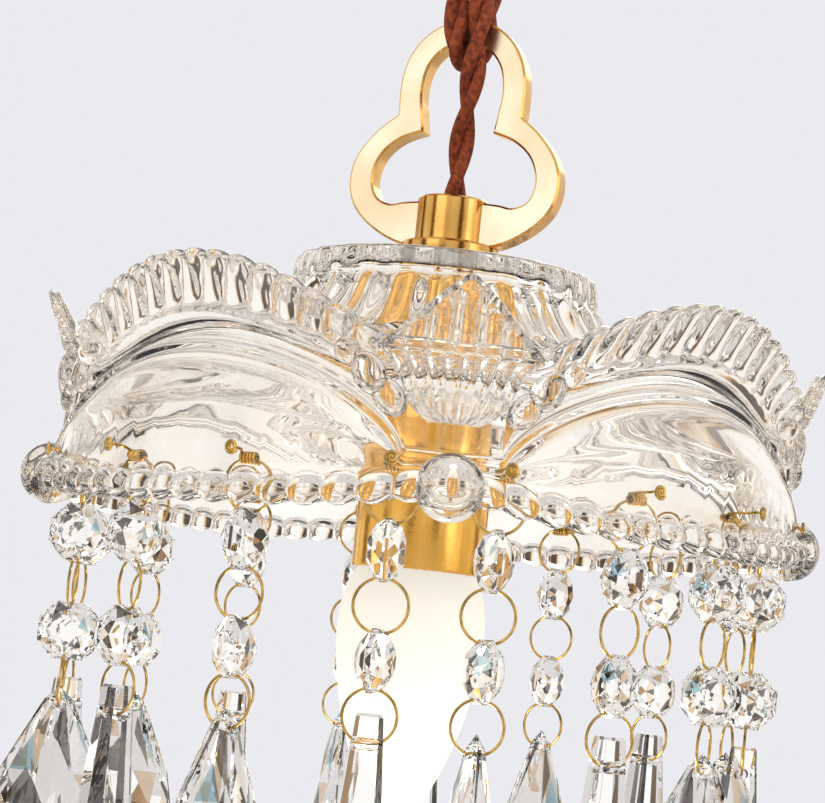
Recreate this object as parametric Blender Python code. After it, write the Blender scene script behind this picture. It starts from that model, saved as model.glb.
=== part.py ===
"""Small crystal pendant lamp: brass hanging loop, pressed glass crown, candle lamp, crystal strands.

Row frame: origin on the flat top of the ceiling plate, +Z up, the front valley of the crown towards -Y.
Every height below is given in millimetres from the crown's rim and moved down by RIM_DROP.
"""
import math

import bmesh
import bpy
from mathutils import Matrix, Vector

MM = 0.001
RIM_DROP = 300.0        # ceiling face down to the centre line of the crown's rim
COLUMNS = 120           # columns round the crown, 30 in each of its four lobes
FLUTES = 24             # flutes round the dome
WALL_LOBE_R = 86.5      # crown wall radius in the middle of a lobe
WALL_CORNER = 5.0       # how far the wall stands out near a valley
RIM_DIP = 4.6           # how far the rim hangs lower along a lobe than at a valley's ball
HOLE_R = 5.3            # clearance hole for the threaded nipple
TUBE_R = 16.0           # brass socket cover, outside
TUBE_WALL = 1.2
TUBE_FOOT = -14.9
LOOP_TURN = -23.3       # the loop plate's normal, degrees from -Y towards +X
LOOP_HALF = 3.0         # half the loop plate's thickness
CORD_R = 2.75
BALL_Z = 281.0          # swivel ball centre inside the ceiling rose
COIL_Z = 3.2            # axis of the pin coils that carry the strands
COIL_INSET = 8.0        # coil axis inside the crown's wall radius
RING_R = 6.3            # ring centre line to wire centre line
WIRE = 0.5
LINK_HALF = 5.2         # octagon centre to its drilled hole
PIN_ANGLES = (8.0, 32.0, 58.0, 82.0)
DROP_Z = -(6 * RING_R + 4 * LINK_HALF)   # drop hole below the coil axis

BRASS = (0.83, 0.60, 0.24)
GLASS = (0.93, 0.93, 0.92)


def clear_scene():
    for obj in list(bpy.data.objects):
        bpy.data.objects.remove(obj)


def material(name, colour, metallic=0.0, rough=0.3, alpha=1.0):
    mat = bpy.data.materials.new(name)
    mat.use_nodes = True
    shader = mat.node_tree.nodes["Principled BSDF"]
    shader.inputs["Base Color"].default_value = (*colour, 1.0)
    shader.inputs["Metallic"].default_value = metallic
    shader.inputs["Roughness"].default_value = rough
    shader.inputs["Alpha"].default_value = alpha
    return mat


def mesh_from(name, verts, faces):
    """Closed mesh in metres from points in millimetres, normals facing out."""
    mesh = bpy.data.meshes.new(name)
    mesh.from_pydata([tuple(c * MM for c in v) for v in verts], [], faces)
    tidy(mesh)
    return mesh


def tidy(mesh):
    bm = bmesh.new()
    bm.from_mesh(mesh)
    bmesh.ops.remove_doubles(bm, verts=bm.verts, dist=1e-6)
    bmesh.ops.recalc_face_normals(bm, faces=bm.faces)
    bm.to_mesh(mesh)
    bm.free()


def joined(name, meshes):
    """One mesh holding several separate closed shells."""
    bm = bmesh.new()
    for mesh in meshes:
        bm.from_mesh(mesh)
    out = bpy.data.meshes.new(name)
    bm.to_mesh(out)
    bm.free()
    return out


def moved(mesh, matrix):
    out = mesh.copy()
    out.transform(matrix)
    return out


def combine(mesh, other, operation):
    """Exact boolean of two meshes, returned as a new mesh."""
    first = bpy.data.objects.new("first", mesh)
    second = bpy.data.objects.new("second", other)
    bpy.context.scene.collection.objects.link(first)
    bpy.context.scene.collection.objects.link(second)
    step = first.modifiers.new("step", "BOOLEAN")
    step.operation = operation
    step.solver = "EXACT"
    step.object = second
    graph = bpy.context.evaluated_depsgraph_get()
    out = bpy.data.meshes.new_from_object(first.evaluated_get(graph))
    bpy.data.objects.remove(first)
    bpy.data.objects.remove(second)
    return out


def add_node(name, mesh, mat, origin_mm=(0.0, 0.0, 0.0), turn=0.0):
    """Object whose own origin sits at origin_mm (rim frame), turned about Z."""
    mesh.name = name
    mesh.materials.clear()
    mesh.materials.append(mat)
    obj = bpy.data.objects.new(name, mesh)
    obj.location = (origin_mm[0] * MM, origin_mm[1] * MM, (origin_mm[2] - RIM_DROP) * MM)
    obj.rotation_euler = (0.0, 0.0, math.radians(turn))
    bpy.context.scene.collection.objects.link(obj)
    return obj


def lathe(name, profile, sides):
    """Solid of revolution about Z from a closed (radius, height) outline."""
    verts = []
    for i in range(sides):
        a = 2 * math.pi * i / sides
        verts += [(r * math.cos(a), r * math.sin(a), z) for r, z in profile]
    rows = len(profile)
    faces = []
    for i in range(sides):
        j = (i + 1) % sides
        for k in range(rows):
            m = (k + 1) % rows
            if profile[k][0] == 0 and profile[m][0] == 0:
                continue
            faces.append((i * rows + k, j * rows + k, j * rows + m, i * rows + m))
    return mesh_from(name, verts, faces)


def cylinder(name, radius, z0, z1, sides):
    return lathe(name, [(0, z0), (radius, z0), (radius, z1), (0, z1)], sides)


def hull(name, points):
    bm = bmesh.new()
    for p in points:
        bm.verts.new([c * MM for c in p])
    found = bmesh.ops.convex_hull(bm, input=bm.verts)
    spare = [v for v in found["geom_interior"] if isinstance(v, bmesh.types.BMVert)]
    bmesh.ops.delete(bm, geom=spare, context="VERTS")
    bmesh.ops.recalc_face_normals(bm, faces=bm.faces)
    mesh = bpy.data.meshes.new(name)
    bm.to_mesh(mesh)
    bm.free()
    return mesh


def around(radius, degrees, z=0.0):
    """Point at a radius and angle; the angle runs from -Y towards +X."""
    a = math.radians(degrees)
    return (radius * math.sin(a), -radius * math.cos(a), z)


# ---------------------------------------------------------------- glass crown

def from_valley(degrees):
    """Degrees from the nearest valley, 0 to 45."""
    d = degrees % 90.0
    return min(d, 90.0 - d)


def crest_rise(degrees):
    x = min(1.0, max(0.0, (from_valley(degrees) - 11.0) / 34.0))
    return math.sin(0.5 * math.pi * x)


def arch_rise(degrees):
    x = min(1.0, max(0.0, (from_valley(degrees) - 7.0) / 38.0))
    return (1.0 - (1.0 - x) ** 2) ** 0.68


def rim_height(degrees):
    return -RIM_DIP * (1.0 - math.exp(-((from_valley(degrees) / 14.0) ** 1.2)))


def wall_radius(degrees):
    v = from_valley(degrees)
    return WALL_LOBE_R + WALL_CORNER * math.exp(-((v / 16.0) ** 2)) - 2.0 * math.exp(-((v / 3.0) ** 2))


def crown_section(degrees, ridge):
    """Closed outline (radius, height) of the crown; ridge is +1 or -1 on alternate columns."""
    crest, arch, wall = crest_rise(degrees), arch_rise(degrees), wall_radius(degrees)
    rim = rim_height(degrees)
    foot = rim + 3.2
    arch_z = 4.0 + 21.8 * arch
    base_z = 25.0 + 11.0 * crest ** 1.3
    top_z = 31.0 + 17.4 * crest
    flute = 0.9 * math.cos(math.radians(FLUTES * degrees))
    return [
        (wall - 1.0, rim - 3.2),
        (wall + 2.2 + 0.6 * ridge, rim),
        (wall - 0.2, foot),
        (wall + 0.4 * arch, foot + 0.5 * (arch_z - foot)),
        (wall - 1.6 * arch, foot + 0.83 * (arch_z - foot)),
        (wall - 1.0 - 4.0 * arch, arch_z),
        (wall - 0.8 - 3.4 * arch, arch_z + 2.2),
        (wall - 2.4 - 5.4 * arch, 0.5 * (arch_z + 2.2 + base_z)),
        (wall - 4.6, base_z),
        (wall + 0.4 + 0.7 * ridge, top_z),
        (wall - 3.0 + 0.5 * ridge, top_z - 0.5),
        (wall - 8.8, base_z + 0.5),
        (62.0, 33.0 + 3.0 * crest),
        (45.0 + flute, 41.0),
        (38.6 + flute, 49.0),
        (36.0, 52.8),
        (35.2, 58.5),
        (14.0, 61.3),
        (HOLE_R, 61.3),
        (HOLE_R, 57.3),
        (17.5, 57.3),
        (30.5, 54.8),
        (32.3, 51.5),
        (41.0, 37.0),
        (62.0, 29.0 + 3.0 * crest),
        (wall - 8.6 - 4.0 * arch, base_z - 4.3),
        (wall - 5.2 - 3.2 * arch, 10.0 + 13.0 * arch),
        (wall - 4.2, 4.0 + 10.0 * arch),
        (wall - 4.0, rim - 1.2),
    ]


def crown_shell():
    verts = []
    rows = 0
    for i in range(COLUMNS):
        degrees = 360.0 * i / COLUMNS
        section = crown_section(degrees, 1 if i % 2 else -1)
        rows = len(section)
        verts += [around(r, degrees, z) for r, z in section]
    faces = []
    for i in range(COLUMNS):
        j = (i + 1) % COLUMNS
        for k in range(rows):
            m = (k + 1) % rows
            faces.append((i * rows + k, j * rows + k, j * rows + m, i * rows + m))
    return mesh_from("shell", verts, faces)


def fan_block():
    """Ribbed palmette that stands in a valley, built on the front valley."""
    columns, top_half = 10, 17.2
    rows = ((13.5, 6.0, 86.5), (17.0, 10.0, 90.2), (23.0, 13.0, 91.2), (28.5, top_half, 90.0))
    front, back = [], []
    for z, half, radius in rows:
        for c in range(columns + 1):
            u = 2.0 * c / columns - 1.0
            rib = 0.7 if c % 2 else -0.3
            front.append((u * half, -(radius + rib - 2.2 * u * u), z))
            back.append((u * half, -80.5, z))
    for c in range(columns + 1):
        u = 2.0 * c / columns - 1.0
        rise = 1.0 - abs(u) ** 1.15
        rib = 0.7 if c % 2 else -0.3
        z = 28.9 + 15.6 * rise
        front.append((u * top_half, -(89.4 + 5.4 * rise + rib - 2.2 * u * u), z))
        back.append((u * top_half, -(84.0 + 7.6 * rise - 2.2 * u * u), z))
    wide, high = columns + 1, len(rows) + 1
    verts = front + back
    offset = len(front)
    faces = []
    for r in range(high - 1):
        for c in range(columns):
            a = r * wide + c
            faces.append((a, a + 1, a + wide + 1, a + wide))
            faces.append((offset + a, offset + a + wide, offset + a + wide + 1, offset + a + 1))
        a, b = r * wide, r * wide + columns
        faces.append((a, a + wide, offset + a + wide, offset + a))
        faces.append((b, offset + b, offset + b + wide, b + wide))
    last = (high - 1) * wide
    for c in range(columns):
        faces.append((c, offset + c, offset + c + 1, c + 1))
        faces.append((last + c, last + c + 1, offset + last + c + 1, offset + last + c))
    return mesh_from("fan", verts, faces)


def rim_ball():
    steps = 5
    arc = [math.pi * k / steps - math.pi / 2 for k in range(steps + 1)]
    profile = [(7.4 * math.cos(a) if 0 < k < steps else 0.0, 7.4 * math.sin(a))
               for k, a in enumerate(arc)]
    mesh = lathe("ball", profile, 10)
    mesh.transform(Matrix.Translation(Vector((0, -90.6, -0.4)) * MM))
    return mesh


def pin_bore(degrees):
    reach = cylinder("bore", 1.1, 0.0, 16.0, 8)
    tilt = Matrix.Rotation(math.radians(90.0), 4, "X")
    turn = Matrix.Rotation(math.radians(degrees), 4, "Z")
    start = Matrix.Translation(Vector((0, -(wall_radius(degrees) - 9.0), COIL_Z + 1.6)) * MM)
    return moved(reach, turn @ start @ tilt)


def glass_crown():
    quarter = [Matrix.Rotation(math.radians(90.0 * q), 4, "Z") for q in range(4)]
    shell = crown_shell()
    fan = fan_block()
    ball = rim_ball()
    crown = combine(shell, joined("fans", [moved(fan, q) for q in quarter]), "UNION")
    crown = combine(crown, joined("balls", [moved(ball, q) for q in quarter]), "UNION")
    bores = [pin_bore(90.0 * q + a) for q in range(4) for a in PIN_ANGLES]
    return combine(crown, joined("bores", bores), "DIFFERENCE")


# ---------------------------------------------------------------- brass parts

OUTER = ((0, 122.2), (6.5, 121.0), (12.0, 117.0), (15.4, 111.0), (16.4, 104.5), (16.2, 98.0),
         (21.5, 93.6), (26.0, 87.5), (27.4, 81.0), (25.6, 74.5), (20.0, 69.0), (11.5, 65.2), (0, 65.0))
INNER = ((0, 116.1), (5.4, 114.8), (9.2, 110.6), (10.5, 104.5), (9.9, 99.0), (9.1, 93.8),
         (15.0, 91.6), (19.4, 87.6), (21.2, 82.0), (19.8, 77.2), (16.0, 75.3), (11.5, 76.0), (0, 76.7))


def trefoil_plate():
    def full(half):
        return list(half) + [(-u, z) for u, z in reversed(half[1:-1])]
    outer, inner = full(OUTER), full(INNER)
    count = len(outer)
    verts = []
    for y in (-LOOP_HALF, LOOP_HALF):
        verts += [(u, y, z) for u, z in outer]
        verts += [(u, y, z) for u, z in inner]
    faces = []
    for i in range(count):
        j = (i + 1) % count
        faces.append((i, j, count + j, count + i))
        faces.append((2 * count + i, 3 * count + i, 3 * count + j, 2 * count + j))
        faces.append((i, 2 * count + i, 2 * count + j, j))
        faces.append((count + i, count + j, 3 * count + j, 3 * count + i))
    return mesh_from("plate", verts, faces)


def loop_bracket():
    profile = [(0, 61.6), (11.9, 61.6), (12.1, 63.0), (11.6, 65.7), (8.9, 66.0), (8.9, 76.7), (8.5, 77.2), (0, 77.2)]
    hub = lathe("hub", profile, 24)
    casting = combine(trefoil_plate(), hub, "UNION")
    nipple_bore = cylinder("bore", HOLE_R, 55.0, 74.0, 24)
    casting = combine(casting, nipple_bore, "DIFFERENCE")
    return combine(casting, cylinder("outlet", 3.3, 70.0, 80.0, 24), "DIFFERENCE")


def socket_cover():
    inner = TUBE_R - TUBE_WALL
    profile = [(HOLE_R, 57.0), (TUBE_R - 0.6, 57.0), (TUBE_R, 56.4), (TUBE_R, TUBE_FOOT + 0.4),
               (TUBE_R - 0.3, TUBE_FOOT), (inner, TUBE_FOOT), (inner, 55.4), (HOLE_R, 55.4)]
    return lathe("cover", profile, 32)


def threaded_nipple():
    return lathe("nipple", [(3.5, 48.0), (4.9, 48.0), (4.9, 73.6), (3.5, 73.6)], 20)


def lower_nut():
    inner = 5.15 / math.cos(math.pi / 6)
    return lathe("nut", [(inner, 51.6), (9.4, 51.6), (9.4, 55.1), (inner, 55.1)], 6)


def lampholder():
    profile = [(0, 47.4), (9.0, 47.4), (12.4, 44.0), (12.4, -4.0), (7.4, -4.0), (7.4, 26.5), (0, 26.5)]
    return lathe("holder", profile, 20)


def bulb_globe():
    profile = [(0, -4.6), (7.8, -4.6), (9.6, -8.0), (13.0, -12.6), (15.6, -17.2), (17.2, -22.0), (17.9, -29.0),
               (17.4, -37.0), (15.4, -48.0), (12.0, -59.0), (8.0, -68.0), (4.2, -74.6), (1.8, -78.0), (0, -80.0)]
    return lathe("globe", profile, 20)


def bulb_cap():
    profile = [(0, -4.3), (7.0, -4.3), (7.0, 18.0), (4.6, 21.4), (2.6, 24.6), (0, 24.6)]
    return lathe("cap", profile, 16)


# ---------------------------------------------------------------- ceiling parts

def ceiling_plate():
    return cylinder("plate", 36.0, 296.8, 300.0, 32)


def ceiling_rose():
    profile = [(5.3, 276.2), (9.0, 275.0), (24.0, 276.5), (34.0, 280.5), (39.0, 287.0), (40.0, 293.0), (40.0, 299.7),
               (38.6, 299.7), (38.6, 293.2), (37.7, 287.9), (33.2, 281.9), (23.7, 278.0), (9.6, 276.6), (5.6, 276.6)]
    return lathe("rose", profile, 28)


def cord_grip():
    """Swivel ball with the cord's passage through it, centred on its own origin."""
    steps = 8
    low = math.asin(4.4 / 7.0)
    arc = [low + (math.pi - 2 * low) * k / steps for k in range(steps + 1)]
    profile = [(7.0 * math.sin(a), 7.0 * math.cos(a)) for a in arc]
    return lathe("ball", profile, 20)


# ---------------------------------------------------------------- cord

def cord_route():
    """Centre line as (offset along the loop plate, offset to its front, height)."""
    reach = LOOP_HALF + CORD_R + 0.55
    under = 116.1 - CORD_R - 0.55
    return [
        (0, 0, 50.0), (0, 0, 62.0), (0, 0, 74.0), (0, 0, 79.0), (0.4, 0.6, 88.0), (1.6, 2.6, 98.0),
        (3.4, reach - 0.7, 107.0), (4.0, reach, 114.0), (4.1, reach, 120.0), (4.1, reach - 0.1, 126.0),
        (3.9, reach - 2.6, 132.0), (3.2, 0.0, 134.5), (2.4, -reach + 1.2, 131.0), (1.8, -reach, 124.0),
        (1.0, -reach, 118.0), (0.0, -reach + 1.3, 113.9), (-0.8, -2.0, under), (-1.5, 2.0, under),
        (-2.0, reach - 1.3, 113.9), (-2.1, reach, 118.0), (-2.1, reach, 124.0), (-2.2, reach, 132.0),
        (-2.0, reach - 0.4, 140.0), (-1.2, 3.4, 152.0), (-0.3, 0.9, 166.0), (0, 0, 180.0),
        (0, 0, 205.0), (0, 0, 240.0), (0, 0, 282.0),
    ]


def smooth(points, steps):
    """Catmull-Rom curve through the points."""
    pts = [Vector(p) for p in points]
    out = []
    for i in range(len(pts) - 1):
        p0 = pts[max(i - 1, 0)]
        p1, p2 = pts[i], pts[i + 1]
        p3 = pts[min(i + 2, len(pts) - 1)]
        for s in range(steps):
            t = s / steps
            out.append(0.5 * ((2 * p1) + (p2 - p0) * t + (2 * p0 - 5 * p1 + 4 * p2 - p3) * t * t
                              + (3 * p1 - p0 - 3 * p2 + p3) * t ** 3))
    out.append(pts[-1])
    return out


def suspension_cord(mat):
    a = math.radians(LOOP_TURN)
    along, front = Vector((math.cos(a), math.sin(a), 0)), Vector((math.sin(a), -math.cos(a), 0))
    curve = bpy.data.curves.new("suspension_cord", "CURVE")
    curve.dimensions = "3D"
    curve.bevel_depth = CORD_R * MM
    curve.bevel_resolution = 2
    curve.use_fill_caps = True
    line = curve.splines.new("POLY")
    route = smooth(cord_route(), 2)
    line.points.add(len(route) - 1)
    pivot = Vector((0, 0, BALL_Z))
    for point, p in zip(line.points, route):
        place = along * p.x + front * p.y + Vector((0, 0, p.z)) - pivot
        point.co = (*(place * MM), 1.0)
    curve.materials.append(mat)
    obj = bpy.data.objects.new("suspension_cord", curve)
    obj.location = (0, 0, (BALL_Z - RIM_DROP) * MM)
    bpy.context.scene.collection.objects.link(obj)
    return obj


# ---------------------------------------------------------------- pins, strands, drops
# Built with X along the rim, -Y outwards and the origin on the strand's hinge axis.

def pin_mesh(degrees):
    """Head outside the wall, shank through it, coil round the top ring inside."""
    wall = COIL_INSET + 0.9
    shank = cylinder("shank", 0.55, 1.0, wall + 0.6, 5)
    head = cylinder("head", 1.7, wall + 0.1, wall + 1.2, 8)
    rod = combine(shank, head, "UNION")
    rod.transform(Matrix.Translation(Vector((0, 0, 1.6)) * MM) @ Matrix.Rotation(math.radians(90.0), 4, "X"))
    coil = lathe("coil", [(1.15, -2.0), (2.2, -2.0), (2.2, 2.0), (1.15, 2.0)], 8)
    coil.transform(Matrix.Rotation(math.radians(90.0), 4, "Y"))
    return combine(rod, coil, "UNION")


def ring_mesh(z):
    """Round wire ring in the X-Z plane with short flats at top and bottom."""
    sides = 10
    corner = RING_R / math.cos(math.pi / sides)
    verts = []
    for i in range(sides):
        a = math.pi / 2 + math.pi / sides + 2 * math.pi * i / sides
        for s, y in ((-1, 0), (0, -1), (1, 0), (0, 1)):
            r = corner + s * WIRE * 1.12
            verts.append((r * math.cos(a), y * WIRE * 1.12, z + r * math.sin(a)))
    faces = []
    for i in range(sides):
        j = (i + 1) % sides
        faces += [(4 * i + k, 4 * i + (k + 1) % 4, 4 * j + (k + 1) % 4, 4 * j + k) for k in range(4)]
    return mesh_from("ring", verts, faces)


def octagon_mesh(z):
    """Faceted octagonal bead, thin along X, drilled links meet it above and below."""
    points = []
    for i in range(8):
        a = math.pi / 8 + math.pi * i / 4
        points.append((0.0, 7.3 * math.cos(a), z + 7.3 * math.sin(a)))
        points += [(x, 4.1 * math.cos(a), z + 4.1 * math.sin(a)) for x in (-4.2, 4.2)]
    return hull("octagon", points)


def chain_mesh():
    step = 2 * RING_R + 2 * LINK_HALF
    rings = joined("rings", [ring_mesh(-RING_R - step * k) for k in range(3)])
    beads = joined("beads", [octagon_mesh(-2 * RING_R - LINK_HALF - step * k) for k in range(2)])
    return combine(rings, beads, "UNION")


def hole_cutter():
    cutter = cylinder("cutter", 1.55, -8.0, 8.0, 8)
    cutter.transform(Matrix.Rotation(math.radians(90.0), 4, "Y"))
    return cutter


def prism_mesh():
    """Square tapering icicle, hole near its top."""
    points = []
    for z, half in ((6.6, 1.9), (5.8, 2.9), (-3.0, 3.1), (-43.0, 6.4), (-57.0, 0.7)):
        points += [(x * half, y * half, z) for x in (-1, 1) for y in (-1, 1)]
    return combine(hull("prism", points), hole_cutter(), "DIFFERENCE")


def teardrop_mesh():
    """Faceted almond drop, wide across the strand and thin along the rim."""
    points = []
    for y, z in ((2.4, 4.0), (12.3, -14.5), (14.0, -24.0), (12.6, -33.0), (8.0, -41.0), (2.6, -46.0)):
        points += [(0.0, y, z), (0.0, -y, z)]
    for y, z in ((1.2, 3.0), (6.6, -15.0), (7.4, -24.0), (6.2, -31.5), (3.0, -38.0)):
        points += [(x, s * y, z) for x in (-1, 1) for s in (-1, 1)]
    thick = {3.0: 2.3, -15.0: 4.9, -24.0: 5.3, -31.5: 4.9, -38.0: 3.6}
    points = [(p[0] * thick.get(p[2], 0.0), p[1], p[2]) for p in points]
    return combine(hull("teardrop", points), hole_cutter(), "DIFFERENCE")


def strands(brass, crystal):
    pin, chain = pin_mesh(0.0), chain_mesh()
    drops = (teardrop_mesh(), prism_mesh())
    index = 0
    for quarter in range(4):
        for angle in PIN_ANGLES:
            index += 1
            degrees = 90.0 * quarter + angle
            coil = around(wall_radius(degrees) - COIL_INSET, degrees, COIL_Z)
            foot = (coil[0], coil[1], COIL_Z + DROP_Z)
            add_node("pin_%02d" % index, pin.copy(), brass, coil, degrees)
            add_node("chain_%02d" % index, chain.copy(), crystal, coil, degrees)
            add_node("drop_%02d" % index, drops[(index + 1) % 2].copy(), crystal, foot, degrees)


def main():
    clear_scene()
    brass = material("brass", BRASS, 1.0, 0.22)
    crystal = material("crystal", GLASS, 0.0, 0.05, 0.45)
    frosted = material("frosted", (1.0, 0.96, 0.88), 0.0, 0.4)
    ceramic = material("porcelain", (0.9, 0.88, 0.83), 0.0, 0.35)
    fabric = material("fabric", (0.33, 0.08, 0.025), 0.0, 0.85)
    steel = material("steel", (0.72, 0.72, 0.72), 1.0, 0.3)
    add_node("ceiling_plate", ceiling_plate(), steel)
    add_node("ceiling_rose", ceiling_rose(), brass)
    add_node("cord_grip", cord_grip(), brass, (0, 0, BALL_Z))
    suspension_cord(fabric)
    add_node("loop_bracket", loop_bracket(), brass, turn=LOOP_TURN)
    add_node("threaded_nipple", threaded_nipple(), steel)
    add_node("glass_crown", glass_crown(), crystal)
    add_node("socket_cover", socket_cover(), brass)
    add_node("lower_nut", lower_nut(), steel)
    add_node("lampholder", lampholder(), ceramic)
    add_node("bulb_globe", bulb_globe(), frosted)
    add_node("bulb_cap", bulb_cap(), steel)
    strands(brass, crystal)


main()
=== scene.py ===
"""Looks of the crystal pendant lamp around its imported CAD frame.

Shapes are in millimetres, with heights from the centre line of the crown's rim and angles round the crown
in degrees from the middle of the front valley. Textures, lights and the camera are in metres, with heights
from the ceiling face.
"""

import math

import bmesh
import bpy
from mathutils import Matrix, Vector


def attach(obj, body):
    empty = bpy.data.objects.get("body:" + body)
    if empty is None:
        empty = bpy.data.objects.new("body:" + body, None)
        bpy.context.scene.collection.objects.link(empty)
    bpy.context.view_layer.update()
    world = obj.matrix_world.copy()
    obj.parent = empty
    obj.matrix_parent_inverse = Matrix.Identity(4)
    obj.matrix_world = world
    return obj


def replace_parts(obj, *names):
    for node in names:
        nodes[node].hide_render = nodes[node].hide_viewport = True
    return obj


MM = 0.001
RIM_DROP = 300.0        # ceiling face down to the rim's centre line
TAU = 2 * math.pi
FILAMENT_Z = -34.0      # where the bulb is brightest

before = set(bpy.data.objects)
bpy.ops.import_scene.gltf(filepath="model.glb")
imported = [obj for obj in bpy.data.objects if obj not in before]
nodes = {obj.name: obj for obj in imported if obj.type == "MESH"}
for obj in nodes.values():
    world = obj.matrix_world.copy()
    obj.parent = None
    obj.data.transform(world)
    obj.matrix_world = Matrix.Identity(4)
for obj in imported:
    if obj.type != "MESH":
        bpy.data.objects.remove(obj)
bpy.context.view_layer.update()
scene = bpy.context.scene


# ------------------------------------------------------------------ materials

def principled(name, colour, metallic=0.0, rough=0.3, **sockets):
    mat = bpy.data.materials.new(name)
    mat.use_nodes = True
    shader = mat.node_tree.nodes["Principled BSDF"]
    shader.inputs["Base Color"].default_value = (*colour, 1.0)
    shader.inputs["Metallic"].default_value = metallic
    shader.inputs["Roughness"].default_value = rough
    for key, value in sockets.items():
        shader.inputs[key.replace("_", " ")].default_value = value
    return mat


def node(mat, kind, **values):
    made = mat.node_tree.nodes.new(kind)
    for key, value in values.items():
        made.inputs[key.replace("_", " ")].default_value = value
    return made


def link(mat, a, out, b, into):
    mat.node_tree.links.new(a.outputs[out], b.inputs[into])


def coordinates(mat):
    return mat.node_tree.nodes.new("ShaderNodeTexCoord")


def tinted(mat, low, high, scale, detail=4.0):
    """Noise between two colours on the base colour."""
    shader = mat.node_tree.nodes["Principled BSDF"]
    noise = node(mat, "ShaderNodeTexNoise", Scale=scale, Detail=detail)
    ramp = mat.node_tree.nodes.new("ShaderNodeValToRGB")
    ramp.color_ramp.elements[0].position = 0.35
    ramp.color_ramp.elements[1].position = 0.65
    ramp.color_ramp.elements[0].color = (*low, 1.0)
    ramp.color_ramp.elements[1].color = (*high, 1.0)
    link(mat, coordinates(mat), "Object", noise, "Vector")
    link(mat, noise, "Fac", ramp, "Fac")
    link(mat, ramp, "Color", shader, "Base Color")
    return noise


def bumped(mat, height, strength, distance):
    bump = node(mat, "ShaderNodeBump", Strength=strength, Distance=distance)
    link(mat, height, "Fac", bump, "Height")
    link(mat, bump, "Normal", mat.node_tree.nodes["Principled BSDF"], "Normal")


def brass(name, low, high, rough, scale=60.0):
    mat = principled(name, high, 1.0, rough)
    tinted(mat, low, high, scale)
    fine = node(mat, "ShaderNodeTexNoise", Scale=900.0, Detail=3.0)
    link(mat, coordinates(mat), "Object", fine, "Vector")
    bumped(mat, fine, 0.12, 0.0002)
    return mat


def clear_glass(name, low, high, rough, wave):
    mat = principled(name, high, 0.0, rough, IOR=1.5, Transmission_Weight=1.0)
    tinted(mat, low, high, 45.0, 2.0)
    if wave:
        ripple = node(mat, "ShaderNodeTexNoise", Scale=55.0, Detail=1.0)
        link(mat, coordinates(mat), "Object", ripple, "Vector")
        bumped(mat, ripple, wave, 0.0015)
    return mat


def frosted_glow():
    """Frosted envelope that glows, brightest round the middle where the filament is."""
    mat = principled("bulb_glow", (1.0, 0.95, 0.87), 0.0, 0.45, Emission_Strength=1.0)
    shader = mat.node_tree.nodes["Principled BSDF"]
    centre = Vector((0.0, 0.0, (FILAMENT_Z - RIM_DROP) * MM))
    place = coordinates(mat)
    offset = mat.node_tree.nodes.new("ShaderNodeVectorMath")
    offset.operation = "SUBTRACT"
    offset.inputs[1].default_value = centre
    far = mat.node_tree.nodes.new("ShaderNodeVectorMath")
    far.operation = "LENGTH"
    ramp = mat.node_tree.nodes.new("ShaderNodeMapRange")
    ramp.inputs["From Min"].default_value = 0.016
    ramp.inputs["From Max"].default_value = 0.048
    ramp.inputs["To Min"].default_value = 1.7
    ramp.inputs["To Max"].default_value = 0.62
    link(mat, place, "Object", offset, 0)
    link(mat, offset, "Vector", far, 0)
    link(mat, far, "Value", ramp, "Value")
    link(mat, ramp, "Result", shader, "Emission Strength")
    shader.inputs["Emission Color"].default_value = (1.0, 0.93, 0.80, 1.0)
    return mat


def fabric_cord():
    """Braided rayon: fine diagonal weave over a rust brown."""
    mat = principled("braided_fabric", (0.36, 0.085, 0.025), 0.0, 0.8)
    tinted(mat, (0.16, 0.024, 0.007), (0.46, 0.088, 0.022), 700.0, 5.0)
    weave = node(mat, "ShaderNodeTexWave", Scale=420.0, Distortion=1.5, Detail=2.0)
    weave.bands_direction = "DIAGONAL"
    link(mat, coordinates(mat), "Object", weave, "Vector")
    bumped(mat, weave, 0.5, 0.0003)
    return mat


FACE_BRASS = brass("satin_brass", (0.66, 0.51, 0.30), (0.86, 0.76, 0.59), 0.28, 34.0)
EDGE_BRASS = brass("polished_brass", (0.60, 0.31, 0.07), (0.86, 0.52, 0.16), 0.16)
TUBE_BRASS = brass("tube_brass", (0.90, 0.47, 0.09), (1.0, 0.62, 0.16), 0.19)
WIRE_BRASS = brass("wire_brass", (0.20, 0.14, 0.045), (0.90, 0.58, 0.17), 0.12, 190.0)
ROSE_BRASS = brass("rose_brass", (0.86, 0.60, 0.25), (0.95, 0.70, 0.33), 0.24)
STEEL = brass("zinc_steel", (0.62, 0.62, 0.60), (0.75, 0.75, 0.74), 0.32)
CROWN_GLASS = clear_glass("crown_glass", (0.985, 0.945, 0.89), (1.0, 0.985, 0.965), 0.012, 0.08)
CRYSTAL = clear_glass("cut_crystal", (0.985, 0.985, 0.98), (1.0, 1.0, 1.0), 0.0, 0.0)
# Painted reflections: near-black, teal and amber glass put on some crystal facets. It stands in for dark
# parts of a room and for coloured reflections and dispersion mirrored in them. The crystal itself is clear.
PAINTED_DARK_REFLECTION = clear_glass("painted_dark_reflection", (0.012, 0.012, 0.014), (0.06, 0.055, 0.05), 0.0, 0.0)
PAINTED_TEAL_REFLECTION = clear_glass("painted_teal_reflection", (0.12, 0.32, 0.42), (0.35, 0.55, 0.66), 0.0, 0.0)
PAINTED_AMBER_REFLECTION = clear_glass("painted_amber_reflection", (0.45, 0.22, 0.08), (0.80, 0.55, 0.32), 0.0, 0.0)
PORCELAIN = principled("porcelain", (0.88, 0.86, 0.80), 0.0, 0.3)
tinted(PORCELAIN, (0.84, 0.81, 0.74), (0.90, 0.88, 0.83), 80.0)
GLOW = frosted_glow()
FABRIC = fabric_cord()


# ------------------------------------------------------------------ mesh helpers


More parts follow.
